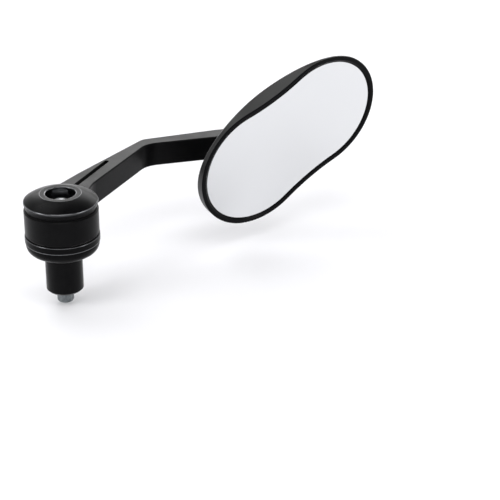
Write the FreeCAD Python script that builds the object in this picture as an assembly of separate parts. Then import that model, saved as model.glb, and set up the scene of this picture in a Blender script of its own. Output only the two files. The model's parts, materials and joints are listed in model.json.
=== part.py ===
import FreeCAD, Part
import math
import os

# A bar-end mirror: an expanding plug that grips inside a handlebar end, a hub
# on its end, an arm whose split ring turns on the hub, and a mirror head on a
# ball stud at the arm's far end.
# Millimetres and degrees. The origin is the centre of the hub's face that
# meets the handlebar end, and +Z points outwards along the bar.

V = FreeCAD.Vector
Z = V(0, 0, 1)

# Clearances
RUNNING_GAP = 0.05
LOOSE_GAP = 0.3
THREAD_GAP = 0.05

# Expanding plug
PLUG_D = 18.0
PLUG_LENGTH = 20.5
PLUG_CHAMFER = 1.0
EXPANDER_WASHER_D = 11.0
EXPANDER_WASHER_THICKNESS = 1.2
EXPANDER_NUT_FLATS = 7.0
EXPANDER_NUT_HEIGHT = 5.0
EXPANDER_NUT_TURN = 13.0
BOLT_D = 4.0
BOLT_LENGTH = 50.0
BOLT_HEAD_D = 7.0
BOLT_HEAD_HEIGHT = 4.0
BOLT_SOCKET_FLATS = 3.0
BOLT_SOCKET_DEPTH = 2.2

# Hub and its flange
FLANGE_D = 35.9
FLANGE_FOOT_D = 29.0
FLANGE_HEIGHT = 9.3
FLANGE_BAND = 3.5
FLANGE_STEP = 0.4
FLANGE_SWELL = 1.1
SEAT_RELIEF_WIDTH = 0.8
SEAT_RELIEF_DEPTH = 0.5
SPIGOT_D = 25.0
THRUST_WASHER_D = 34.4
THRUST_WASHER_THICKNESS = 0.4

# End cap
CAP_D = 35.5
CAP_FOOT_D = 33.8
CAP_LIP = 0.7
CAP_BAND = 3.2
CAP_RISE = 3.55
CAP_SWELL = 0.4
CAP_FLAT_D = 19.8
CAP_HOLE_D = 14.4
CAP_HOLE_DEPTH = 7.7
CAP_BOSS_D = 20.0
CAP_FLOOR = 3.0
CAP_GASKET_D = 33.0
CAP_GASKET_THICKNESS = 0.8

# Arm: split ring, tapering first length, bend, and the length that carries the eye
RING_D = 35.5
ARM_HEIGHT = 12.45
FRONT_HEADING = 65.0
FRONT_OFFSET = 0.5
BACK_HEADING = 58.9
END_HEADING = 15.5
END_OFFSET = 71.0
END_REACH = 101.1
END_WIDTH = 10.0
ROOT_RADIUS = 22.5
OUTER_BEND_RADIUS = 9.0
INNER_BEND_RADIUS = 12.0
TOP_EDGE_BREAK = 0.5
BOTTOM_EDGE_BREAK = 0.5
BEVEL_WIDTH = 3.3
BEVEL_DEPTH = 5.0
BEVEL_START = 25.0
BEVEL_BEND_RADIUS = 8.0
SLOT_WIDTH = 2.4
SLOT_HEADING = 66.5
SLOT_OFFSET = 6.45
SLOT_REACH = 58.0

# Screw that closes the split ring
CLAMP_SCREW_D = 4.0
CLAMP_SCREW_LENGTH = 14.0
CLAMP_SCREW_REACH = 24.0
CLAMP_HEAD_D = 7.0
CLAMP_HEAD_HEIGHT = 4.0
CLAMP_HEAD_SUNK = 0.3
CLAMP_SOCKET_FLATS = 3.0
CLAMP_SOCKET_DEPTH = 2.0

# Eye, pivot screw, post and ball stud
EYE_COUNTERBORE_D = 11.0
EYE_COUNTERBORE_DEPTH = 6.0
PIVOT_SCREW_D = 5.0
PIVOT_SCREW_LENGTH = 10.0
PIVOT_HEAD_D = 8.5
PIVOT_HEAD_HEIGHT = 5.0
PIVOT_SOCKET_FLATS = 4.0
PIVOT_SOCKET_DEPTH = 2.5
PIVOT_WASHER_D = 10.0
PIVOT_WASHER_THICKNESS = 0.8
FRICTION_WASHER_D = 12.0
FRICTION_WASHER_THICKNESS = 0.8
POST_BASE_D = 12.4
POST_BASE_HEIGHT = 3.2
POST_D = 8.6
POST_LENGTH = 9.5
POST_CHAMFER = 1.0
NECK_D = 5.2
NECK_LENGTH = 3.3
STUD_THREAD_LENGTH = 3.7
BALL_D = 12.0

# Liner round the ball
LINER_WALL = 1.3
LINER_MOUTH_ANGLE = 48.5
LINER_BACK_ANGLE = 60.0

# Mirror head: two lobes joined by hollow sides, with a domed back
LOBE_OUTER_R = 33.0
LOBE_INNER_R = 34.6
LOBE_SPACING = 42.2
WAIST_R = 110.0
DOME_HEIGHT = 20.8
DOME_END_WALL = 2.0
DOME_CORNER_WALL = 1.3
DOME_SHIFT = 3.0
SHELL_WALL = 2.4
RIM_WIDTH = 3.2
RIM_LIP = 0.8
RIM_BEVEL = 1.2
RIM_ROUND = 0.6
DOME_EDGE_ROUND = 0.8
GLASS_THICKNESS = 1.7
GLASS_RADIUS = 3000.0
GLASS_EDGE_GAP = 0.15
PAD_THICKNESS = 0.5
PAD_EDGE_GAP = 0.6
LEDGE_WIDTH = 2.8
HEAD_TURN = 35.4
HEAD_TIP = -11.0
HEAD_ROLL = 29.3
SOCKET_REACH = 24.62
SOCKET_DROP = 2.15
SOCKET_DEPTH = 12.5
SOCKET_MOUTH_ANGLE = 54.0
COLLAR_D = 15.0
COLLAR_LIP = 0.2

# Plate that closes the ball socket from inside the head
CLAMP_PLATE_D = 26.0
CLAMP_PLATE_THICKNESS = 3.5
CLAMP_PLATE_SEAT = 2.0
PLATE_SCREW_COUNT = 3
PLATE_SCREW_CIRCLE_D = 20.8
PLATE_SCREW_D = 3.0
PLATE_SCREW_LENGTH = 6.2
PLATE_SCREW_HEAD_D = 5.5
PLATE_SCREW_HEAD_HEIGHT = 1.8
PLATE_SOCKET_FLATS = 2.0
PLATE_SOCKET_DEPTH = 1.0

# Heights along the bar axis
RING_BOTTOM = FLANGE_HEIGHT + THRUST_WASHER_THICKNESS
RING_TOP = RING_BOTTOM + ARM_HEIGHT
CAP_BOTTOM = RING_TOP + RUNNING_GAP + CAP_GASKET_THICKNESS
CAP_TOP = CAP_BOTTOM + CAP_BAND + CAP_RISE
BOLT_SEAT = CAP_TOP - CAP_HOLE_DEPTH
BOSS_BOTTOM = BOLT_SEAT - CAP_FLOOR
NUT_TOP = -PLUG_LENGTH - EXPANDER_WASHER_THICKNESS
BOLT_HOLE_R = BOLT_D / 2 + LOOSE_GAP


def disc(radius, bottom, top):
    """Cylinder about Z between two heights."""
    return Part.makeCylinder(radius, top - bottom, V(0, 0, bottom))


def ring(outer_r, inner_r, bottom, top):
    """Tube about Z between two heights."""
    return disc(outer_r, bottom, top).cut(disc(inner_r, bottom, top))


def hexagon(flats, bottom, top):
    """Hexagonal prism about Z, sized across its flats."""
    corner = flats / math.sqrt(3)
    points = []
    for side in range(7):
        angle = math.radians(60 * side)
        points.append(V(corner * math.cos(angle), corner * math.sin(angle), bottom))
    return Part.Face(Part.makePolygon(points)).extrude(V(0, 0, top - bottom))


def outline(pieces):
    """Closed wire from lines (start, end) and arcs (start, middle, end)."""
    edges = []
    for piece in pieces:
        if len(piece) == 2:
            edges.append(Part.LineSegment(*piece).toShape())
        else:
            edges.append(Part.Arc(*piece).toShape())
    return Part.Wire(edges)


def swell(start, end, rise):
    """Middle point of a shallow arc that bulges to the left of start to end."""
    along = (end - start).normalize()
    return (start + end) * 0.5 + V(-along.z, 0, along.x) * rise


def turned(corners, swells=None):
    """Solid turned about Z from a closed profile of (radius, height) corners.

    swells gives, for the side that starts at a corner, how far it bulges to its left.
    """
    points = [V(radius, 0, height) for radius, height in corners]
    pieces = []
    for index, start in enumerate(points):
        end = points[(index + 1) % len(points)]
        rise = (swells or {}).get(index)
        pieces.append((start, swell(start, end, rise), end) if rise else (start, end))
    return Part.Face(outline(pieces)).revolve(V(), Z, 360)


def socket_screw(shank_d, length, head_d, head_height, flats, depth):
    """Socket-head screw with its head's seat at zero and its point towards -Z."""
    tip = shank_d * 0.13
    shank = turned([
        (0, 0), (0, -length), (shank_d / 2 - tip, -length),
        (shank_d / 2, tip - length), (shank_d / 2, 0),
    ])
    edge = head_d * 0.05
    head = turned([
        (0, 0), (head_d / 2, 0), (head_d / 2, head_height - edge),
        (head_d / 2 - edge, head_height), (0, head_height),
    ])
    return head.fuse(shank).cut(hexagon(flats, head_height - depth, head_height)).removeSplitter()


def placed(shape, frame):
    """Copy of a shape moved from its own frame into the row's frame."""
    moved = shape.copy()
    moved.Placement = frame.multiply(moved.Placement)
    return moved


def heading(angle):
    """Unit vector in plan, turned from +X."""
    return V(math.cos(math.radians(angle)), math.sin(math.radians(angle)), 0)


def left_of(angle):
    """Unit vector in plan to the left of a heading."""
    return heading(angle + 90)


def meet(point, angle, other_point, other_angle):
    """Where two lines in plan cross, each a point and a heading."""
    along = heading(angle)
    across = left_of(other_angle)
    return point + along * ((other_point - point).dot(across) / along.dot(across))


def rounded(before, corner, after, radius):
    """Arc (start, middle, end) that rounds a corner between two points."""
    towards = (before - corner).normalize()
    away = (after - corner).normalize()
    half = towards.getAngle(away) / 2
    reach = radius / math.tan(half)
    centre = corner + (towards + away).normalize() * (radius / math.sin(half))
    middle = centre + (corner - centre).normalize() * radius
    return corner + towards * reach, middle, corner + away * reach


# The eye's centre, in the middle of the arm's end, and the frame of the pivot:
# its Z runs along the pivot screw towards the head.
PIVOT_POINT = heading(END_HEADING) * END_REACH + left_of(END_HEADING) * END_OFFSET
PIVOT_POINT += Z * (RING_BOTTOM + ARM_HEIGHT / 2)
PIVOT_AXIS = left_of(END_HEADING) * -1
PIVOT_FRAME = FreeCAD.Placement(
    PIVOT_POINT,
    FreeCAD.Rotation(heading(END_HEADING), PIVOT_AXIS.cross(heading(END_HEADING)), PIVOT_AXIS, "ZXY"),
)
FACE = END_WIDTH / 2
PIVOT_SEAT = EYE_COUNTERBORE_DEPTH - FACE
PIVOT_HEAD_SEAT = PIVOT_SEAT - PIVOT_WASHER_THICKNESS
POST_BOTTOM = FACE + FRICTION_WASHER_THICKNESS
POST_TOP = POST_BOTTOM + POST_LENGTH
BALL_HEIGHT = POST_TOP + NECK_LENGTH + math.sqrt(BALL_D**2 - NECK_D**2) / 2
BALL_POINT = PIVOT_POINT + PIVOT_AXIS * BALL_HEIGHT

# The head's own axes: u along it, v across it and n out of the glass.
# Its origin is the middle of the rim's front plane, and the socket lies towards the arm.
SOCKET_U = -SOCKET_REACH
SOCKET_V = -SOCKET_DROP
LEVEL = heading(HEAD_TURN)
N_AXIS = left_of(HEAD_TURN) * -math.cos(math.radians(HEAD_TIP)) + Z * math.sin(math.radians(HEAD_TIP))
UPWARDS = N_AXIS.cross(LEVEL)
U_AXIS = LEVEL * math.cos(math.radians(HEAD_ROLL)) + UPWARDS * math.sin(math.radians(HEAD_ROLL))
V_AXIS = N_AXIS.cross(U_AXIS)
HEAD_POINT = BALL_POINT - U_AXIS * SOCKET_U - V_AXIS * SOCKET_V + N_AXIS * SOCKET_DEPTH
HEAD_FRAME = FreeCAD.Placement(HEAD_POINT, FreeCAD.Rotation(U_AXIS, V_AXIS, N_AXIS, "ZXY"))

# The liner turns with the head about the stud's cross axis, and the head turns
# on the liner about v, so the liner's axis is the stud's, less its lean along v.
LINER_AXIS = (PIVOT_AXIS - V_AXIS * PIVOT_AXIS.dot(V_AXIS)).normalize()
LINER_FRAME = FreeCAD.Placement(
    BALL_POINT, FreeCAD.Rotation(V_AXIS.cross(LINER_AXIS), V_AXIS, LINER_AXIS, "ZXY")
)
TILT_AXIS = V_AXIS.cross(PIVOT_AXIS).normalize()

LINER_R = BALL_D / 2 + RUNNING_GAP + LINER_WALL
SOCKET_R = LINER_R + RUNNING_GAP
PLATE_SEAT = CLAMP_PLATE_SEAT - SOCKET_DEPTH
PLATE_FRONT = PLATE_SEAT + CLAMP_PLATE_THICKNESS
POCKET_DEPTH = RIM_LIP + GLASS_THICKNESS + PAD_THICKNESS


def arc_radius(reach, rise):
    """Radius of the arc that rises by rise from its middle over a reach to one side."""
    return (reach**2 + rise**2) / (2 * rise)


# The dome's two arcs leave the named walls standing at the head's end and corners.
HEAD_END = LOBE_SPACING / 2 + LOBE_OUTER_R
HEAD_SIDE = max(LOBE_OUTER_R, LOBE_INNER_R)
DOME_LONG_R = arc_radius(HEAD_END + DOME_SHIFT, DOME_HEIGHT - DOME_END_WALL)


def cross_arc(lobe_r, shift):
    """Radius of the dome's cross arc that leaves the corner wall at a lobe's diagonal."""
    across = lobe_r * math.sqrt(0.5)
    along = LOBE_SPACING / 2 + across + shift
    top = DOME_LONG_R - DOME_HEIGHT + DOME_CORNER_WALL
    return arc_radius(across, DOME_LONG_R - math.hypot(top, along))


DOME_CROSS_R = max(cross_arc(LOBE_OUTER_R, DOME_SHIFT), cross_arc(LOBE_INNER_R, -DOME_SHIFT))


def hub_flange():
    """Turned hub: flange against the bar end, a relief round the plug and a spigot for the ring."""
    spigot_top = CAP_BOTTOM
    counterbore_r = CAP_BOSS_D / 2 + LOOSE_GAP
    counterbore_floor = BOSS_BOTTOM - LOOSE_GAP
    edge = THRUST_WASHER_THICKNESS
    relief_inner = (PLUG_D - SEAT_RELIEF_WIDTH) / 2
    relief_outer = (PLUG_D + SEAT_RELIEF_WIDTH) / 2
    return turned(
        [
            (BOLT_HOLE_R, 0),
            (relief_inner, 0),
            (relief_inner, SEAT_RELIEF_DEPTH),
            (relief_outer, SEAT_RELIEF_DEPTH),
            (relief_outer, 0),
            (FLANGE_FOOT_D / 2, 0),
            (FLANGE_D / 2 - FLANGE_STEP, FLANGE_HEIGHT - FLANGE_BAND - FLANGE_STEP),
            (FLANGE_D / 2, FLANGE_HEIGHT - FLANGE_BAND),
            (FLANGE_D / 2, FLANGE_HEIGHT - edge),
            (FLANGE_D / 2 - edge, FLANGE_HEIGHT),
            (SPIGOT_D / 2, FLANGE_HEIGHT),
            (SPIGOT_D / 2, spigot_top),
            (counterbore_r, spigot_top),
            (counterbore_r, counterbore_floor),
            (BOLT_HOLE_R, counterbore_floor),
        ],
        swells={5: -FLANGE_SWELL},
    )


def end_cap():
    """Turned cap with a domed shoulder and a deep recess for the bolt's head."""
    return turned(
        [
            (CAP_FOOT_D / 2, CAP_BOTTOM),
            (CAP_D / 2, CAP_BOTTOM + CAP_BAND - CAP_LIP),
            (CAP_D / 2, CAP_BOTTOM + CAP_BAND),
            (CAP_FLAT_D / 2, CAP_TOP),
            (CAP_HOLE_D / 2, CAP_TOP),
            (CAP_HOLE_D / 2, BOLT_SEAT),
            (BOLT_HOLE_R, BOLT_SEAT),
            (BOLT_HOLE_R, BOSS_BOTTOM),
            (CAP_BOSS_D / 2, BOSS_BOTTOM),
            (CAP_BOSS_D / 2, CAP_BOTTOM),
        ],
        swells={2: -CAP_SWELL},
    )


def expander_sleeve():
    """Rubber sleeve that swells inside the bar when the bolt is tightened."""
    return turned([
        (BOLT_HOLE_R, 0), (PLUG_D / 2, 0),
        (PLUG_D / 2, PLUG_CHAMFER - PLUG_LENGTH),
        (PLUG_D / 2 - PLUG_CHAMFER, -PLUG_LENGTH),
        (BOLT_HOLE_R, -PLUG_LENGTH),
    ])


def expander_nut():
    """Hexagon nut with its outer corners turned off."""
    nut_bottom = NUT_TOP - EXPANDER_NUT_HEIGHT
    corner = EXPANDER_NUT_FLATS / math.sqrt(3)
    crown = corner - EXPANDER_NUT_FLATS / 2
    blank = turned([
        (BOLT_D / 2 + THREAD_GAP, NUT_TOP), (corner, NUT_TOP),
        (corner, nut_bottom + crown), (corner - crown, nut_bottom),
        (BOLT_D / 2 + THREAD_GAP, nut_bottom),
    ])
    nut = blank.common(hexagon(EXPANDER_NUT_FLATS, nut_bottom, NUT_TOP))
    nut.rotate(V(), Z, EXPANDER_NUT_TURN)
    return nut


def bar_end_pieces():
    """Pieces that stay fixed in the handlebar end."""
    bolt = socket_screw(
        BOLT_D, BOLT_LENGTH, BOLT_HEAD_D, BOLT_HEAD_HEIGHT, BOLT_SOCKET_FLATS, BOLT_SOCKET_DEPTH
    )
    bolt.translate(V(0, 0, BOLT_SEAT))
    over_spigot = SPIGOT_D / 2 + LOOSE_GAP
    return {
        "hub_flange": hub_flange(),
        "end_cap": end_cap(),
        "expander_sleeve": expander_sleeve(),
        "expander_washer": ring(EXPANDER_WASHER_D / 2, BOLT_HOLE_R, NUT_TOP, -PLUG_LENGTH),
        "expander_nut": expander_nut(),
        "expander_bolt": bolt,
        "thrust_washer": ring(THRUST_WASHER_D / 2, over_spigot, FLANGE_HEIGHT, RING_BOTTOM),
        "cap_gasket": ring(
            CAP_GASKET_D / 2, over_spigot, CAP_BOTTOM - CAP_GASKET_THICKNESS, CAP_BOTTOM
        ),
    }


def half_space(corners, outside):
    """Block that fills the side of a plane through three corners where outside lies."""
    origin = corners[0]
    normal = (corners[1] - origin).cross(corners[2] - origin).normalize()
    if normal.dot(outside - origin) < 0:
        normal = normal * -1
    size = END_REACH + END_OFFSET
    block = Part.makeBox(2 * size, 2 * size, ARM_HEIGHT, V(-size, -size, 0))
    return placed(block, FreeCAD.Placement(origin, FreeCAD.Rotation(Z, normal)))


def arm_plan():
    """Named points of the arm's plan outline, at height zero."""
    ring_r = RING_D / 2
    flank = left_of(END_HEADING) * (END_WIDTH / 2)
    eye = V(PIVOT_POINT.x, PIVOT_POINT.y, 0)
    plan = {
        "back_root": left_of(BACK_HEADING) * ring_r,
        "front_root": left_of(FRONT_HEADING) * FRONT_OFFSET,
        "eye_back": eye + flank,
        "eye_front": eye - flank,
    }
    plan["outer_bend"] = meet(plan["back_root"], BACK_HEADING, plan["eye_back"], END_HEADING)
    plan["inner_bend"] = meet(plan["front_root"], FRONT_HEADING, plan["eye_front"], END_HEADING)
    return plan


def arm_blank(plan):
    """Plate of the arm's plan outline, with its edges broken."""
    ring_r = RING_D / 2
    nose = heading(END_HEADING) * (ARM_HEIGHT / 2)
    tip_back = plan["eye_back"] + nose
    tip_front = plan["eye_front"] + nose
    # The root arc lies against the front line and against the outside of the ring.
    inset = FRONT_OFFSET - ROOT_RADIUS
    run = math.sqrt((ring_r + ROOT_RADIUS) ** 2 - inset**2)
    root_centre = left_of(FRONT_HEADING) * inset + heading(FRONT_HEADING) * run
    root_on_line = plan["front_root"] + heading(FRONT_HEADING) * run
    root_on_ring = root_centre * (ring_r / (ring_r + ROOT_RADIUS))
    to_both = (root_on_line - root_centre).normalize() + (root_on_ring - root_centre).normalize()
    root_middle = root_centre + to_both.normalize() * ROOT_RADIUS
    root_angle = math.degrees(math.atan2(root_on_ring.y, root_on_ring.x))
    ring_middle = heading((root_angle + BACK_HEADING + 90 - 360) / 2) * ring_r
    outer = rounded(plan["back_root"], plan["outer_bend"], tip_back, OUTER_BEND_RADIUS)
    inner = rounded(tip_front, plan["inner_bend"], root_on_line, INNER_BEND_RADIUS)
    wire = outline([
        (plan["back_root"], outer[0]), outer, (outer[2], tip_back),
        (tip_back, tip_front), (tip_front, inner[0]), inner, (inner[2], root_on_line),
        (root_on_line, root_middle, root_on_ring), (root_on_ring, ring_middle, plan["back_root"]),
    ])
    wire.translate(Z * RING_BOTTOM)
    plate = Part.Face(wire).extrude(Z * ARM_HEIGHT)
    top = [edge for edge in plate.Edges if edge.BoundBox.ZMin > RING_TOP - TOP_EDGE_BREAK]
    plate = plate.makeChamfer(TOP_EDGE_BREAK, top)
    bottom = [edge for edge in plate.Edges if edge.BoundBox.ZMax < RING_BOTTOM + TOP_EDGE_BREAK]
    return plate.makeChamfer(BOTTOM_EDGE_BREAK, bottom)


def arm_bevels(plan):
    """Blocks that take the tapering bevel off the arm's back edge, and the line where it is deepest."""
    corner = plan["outer_bend"] + Z * RING_TOP
    inwards = (plan["inner_bend"] - plan["outer_bend"]).normalize()
    deepest = [corner + inwards * BEVEL_WIDTH, corner - Z * BEVEL_DEPTH]
    start = plan["back_root"] + heading(BACK_HEADING) * BEVEL_START
    ends = [start + Z * RING_TOP, plan["eye_back"] + Z * RING_TOP]
    return [half_space([end] + deepest, corner) for end in ends], deepest


def bevelled_arm(plan):
    """Arm blank with its bevel, the ridge between the bevel's two faces rounded like the bend."""
    blocks, deepest = arm_bevels(plan)
    blank = arm_blank(plan).cut(blocks)
    along = (deepest[1] - deepest[0]).normalize()
    ridge = [
        edge for edge in blank.Edges
        if all((vertex.Point - deepest[0]).cross(along).Length < RUNNING_GAP for vertex in edge.Vertexes)
    ]
    return blank.makeFillet(BEVEL_BEND_RADIUS, ridge)


def eye_cuts():
    """Blocks that round the arm's end and make the eye's hole and counterbore."""
    reach = ARM_HEIGHT / 2
    beyond = Part.makeBox(ARM_HEIGHT, 2 * ARM_HEIGHT, 2 * END_WIDTH, V(0, -ARM_HEIGHT, -END_WIDTH))
    beyond = beyond.cut(disc(reach, -END_WIDTH, END_WIDTH))
    hole = disc(PIVOT_SCREW_D / 2 + RUNNING_GAP, -END_WIDTH, END_WIDTH)
    counterbore = disc(EYE_COUNTERBORE_D / 2, -END_WIDTH, PIVOT_SEAT)
    return [placed(cut, PIVOT_FRAME) for cut in (beyond, hole, counterbore)]


def clamp_frame(plan):
    """Frame of the clamp screw: origin at its head's seat, its head towards +Z."""
    across = left_of(SLOT_HEADING)
    in_slot = across * SLOT_OFFSET + heading(SLOT_HEADING) * CLAMP_SCREW_REACH
    at_back = meet(in_slot, SLOT_HEADING + 90, plan["back_root"], BACK_HEADING)
    seat = at_back - across * (CLAMP_HEAD_HEIGHT + CLAMP_HEAD_SUNK)
    seat += Z * (RING_BOTTOM + ARM_HEIGHT / 2)
    return FreeCAD.Placement(seat, FreeCAD.Rotation(heading(SLOT_HEADING), Z.cross(across), across, "ZXY"))


def clamp_slot():
    """Saw cut along the arm from the ring's bore, with a round end."""
    height = RING_TOP - RING_BOTTOM
    cut = Part.makeBox(SLOT_REACH, SLOT_WIDTH, height, V(0, SLOT_OFFSET - SLOT_WIDTH / 2, RING_BOTTOM))
    end = Part.makeCylinder(SLOT_WIDTH / 2, height, V(SLOT_REACH, SLOT_OFFSET, RING_BOTTOM))
    slot = cut.fuse(end)
    slot.rotate(V(), Z, SLOT_HEADING)
    return slot


def arm_pieces():
    """The arm and the screw that closes its ring on the spigot."""
    plan = arm_plan()
    frame = clamp_frame(plan)
    shank_hole = disc(CLAMP_SCREW_D / 2 + THREAD_GAP, -2 * CLAMP_SCREW_LENGTH, 0)
    head_hole = disc(CLAMP_HEAD_D / 2 + LOOSE_GAP, 0, 2 * CLAMP_HEAD_HEIGHT)
    cuts = [
        disc(SPIGOT_D / 2 + RUNNING_GAP, RING_BOTTOM, RING_TOP),
        clamp_slot(),
        placed(shank_hole, frame),
        placed(head_hole, frame),
    ]
    arm = bevelled_arm(plan).cut(eye_cuts()).cut(cuts)
    screw = socket_screw(
        CLAMP_SCREW_D, CLAMP_SCREW_LENGTH, CLAMP_HEAD_D, CLAMP_HEAD_HEIGHT,
        CLAMP_SOCKET_FLATS, CLAMP_SOCKET_DEPTH,
    )
    return {"arm": arm, "clamp_screw": placed(screw, frame)}


def swivel_post():
    """Turned post: a base against the eye and a thinner neck, tapped right through."""
    bore = PIVOT_SCREW_D / 2 + THREAD_GAP
    shoulder = POST_BOTTOM + POST_BASE_HEIGHT
    edge = TOP_EDGE_BREAK
    return turned([
        (bore, POST_BOTTOM),
        (POST_BASE_D / 2 - edge, POST_BOTTOM),
        (POST_BASE_D / 2, POST_BOTTOM + edge),
        (POST_BASE_D / 2, shoulder - edge),
        (POST_BASE_D / 2 - edge, shoulder),
        (POST_D / 2, shoulder),
        (POST_D / 2, POST_TOP - POST_CHAMFER),
        (POST_D / 2 - POST_CHAMFER, POST_TOP),
        (bore, POST_TOP),
    ])


def ball_stud():
    """Steel ball with a short neck and a thread that screws into the post."""
    thread = disc(PIVOT_SCREW_D / 2, POST_TOP - STUD_THREAD_LENGTH, POST_TOP)
    neck = disc(NECK_D / 2, POST_TOP, BALL_HEIGHT)
    ball = Part.makeSphere(BALL_D / 2, V(0, 0, BALL_HEIGHT))
    return thread.fuse([neck, ball]).removeSplitter()


def post_pieces():
    """Pieces that turn in the arm's eye."""
    screw = socket_screw(
        PIVOT_SCREW_D, PIVOT_SCREW_LENGTH, PIVOT_HEAD_D, PIVOT_HEAD_HEIGHT,
        PIVOT_SOCKET_FLATS, PIVOT_SOCKET_DEPTH,
    )
    screw.rotate(V(), V(1, 0, 0), 180)
    screw.translate(V(0, 0, PIVOT_HEAD_SEAT))
    hole_r = PIVOT_SCREW_D / 2 + RUNNING_GAP
    pieces = {
        "pivot_screw": screw,
        "pivot_washer": ring(PIVOT_WASHER_D / 2, hole_r, PIVOT_HEAD_SEAT, PIVOT_SEAT),
        "friction_washer": ring(FRICTION_WASHER_D / 2, hole_r, FACE, POST_BOTTOM),
        "swivel_post": swivel_post(),
        "ball_stud": ball_stud(),
    }
    return {name: placed(shape, PIVOT_FRAME) for name, shape in pieces.items()}


def cone(half_angle, length):
    """Cone from the origin that opens towards -Z."""
    return Part.makeCone(length * math.tan(math.radians(half_angle)), 0, length, V(0, 0, -length))


def liner_pieces():
    """Split cup of plastic that the ball turns in and the head turns on."""
    zone = Part.makeSphere(LINER_R).cut(Part.makeSphere(BALL_D / 2 + RUNNING_GAP))
    back = LINER_R * math.cos(math.radians(LINER_BACK_ANGLE))
    zone = zone.cut([cone(LINER_MOUTH_ANGLE, 2 * LINER_R), disc(LINER_R, back, 2 * LINER_R)])
    return {"ball_liner": placed(zone, LINER_FRAME)}


def lobed_outline(inset, height):
    """The head's outline at a height, moved in by inset: two lobes and two hollow sides."""
    lobe_a = LOBE_OUTER_R - inset
    lobe_b = LOBE_INNER_R - inset
    waist = WAIST_R + inset
    half = LOBE_SPACING / 2
    to_a = lobe_a + waist
    to_b = lobe_b + waist
    waist_x = (to_b**2 - to_a**2) / (2 * LOBE_SPACING)
    waist_y = math.sqrt(to_a**2 - (half - waist_x) ** 2)
    centre_a = V(half, 0, height)
    centre_b = V(-half, 0, height)
    hollow = V(waist_x, waist_y, height)
    on_a = centre_a + (hollow - centre_a) * (lobe_a / to_a)
    on_b = centre_b + (hollow - centre_b) * (lobe_b / to_b)
    dip = V(waist_x, waist_y - waist, height)

    def mirrored(point):
        return V(point.x, -point.y, point.z)

    return outline([
        (mirrored(on_a), centre_a + V(lobe_a, 0, 0), on_a),
        (on_a, dip, on_b),
        (on_b, centre_b - V(lobe_b, 0, 0), mirrored(on_b)),
        (mirrored(on_b), mirrored(dip), mirrored(on_a)),
    ])


def lobed(inset, bottom, top):
    """Prism of the head's outline between two heights."""
    return Part.Face(lobed_outline(inset, bottom)).extrude(Z * (top - bottom))


def dome(inset):
    """Solid under the domed back: a cross arc carried round a longer arc."""
    cross_r = DOME_CROSS_R - inset
    lowest = inset - DOME_HEIGHT
    axis_height = DOME_LONG_R - DOME_HEIGHT
    side = HEAD_SIDE + RIM_WIDTH
    edge = lowest + cross_r - math.sqrt(cross_r**2 - side**2)
    lid = RIM_LIP
    profile = outline([
        (V(0, -side, edge), V(0, 0, lowest), V(0, side, edge)),
        (V(0, side, edge), V(0, side, lid)),
        (V(0, side, lid), V(0, -side, lid)),
        (V(0, -side, lid), V(0, -side, edge)),
    ])
    half_length = LOBE_SPACING / 2 + HEAD_SIDE + DOME_SHIFT
    sweep = 2 * math.degrees(math.asin(half_length / (axis_height - lid)))
    solid = Part.Face(profile).revolve(V(0, 0, axis_height), V(0, 1, 0), sweep)
    solid.rotate(V(0, 0, axis_height), V(0, 1, 0), -sweep / 2)
    solid.translate(V(-DOME_SHIFT, 0, 0))
    return solid


def around_socket(shape):
    """Shape made about the ball's centre, moved to the socket's place in the head."""
    return placed(shape, FreeCAD.Placement(V(SOCKET_U, SOCKET_V, -SOCKET_DEPTH), FreeCAD.Rotation()))


def screw_places():
    """Centres of the clamp plate's screws, in the head's plan."""
    places = []
    for index in range(PLATE_SCREW_COUNT):
        spoke = heading(360 * index / PLATE_SCREW_COUNT) * (PLATE_SCREW_CIRCLE_D / 2)
        places.append(spoke + V(SOCKET_U, SOCKET_V, 0))
    return places


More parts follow.
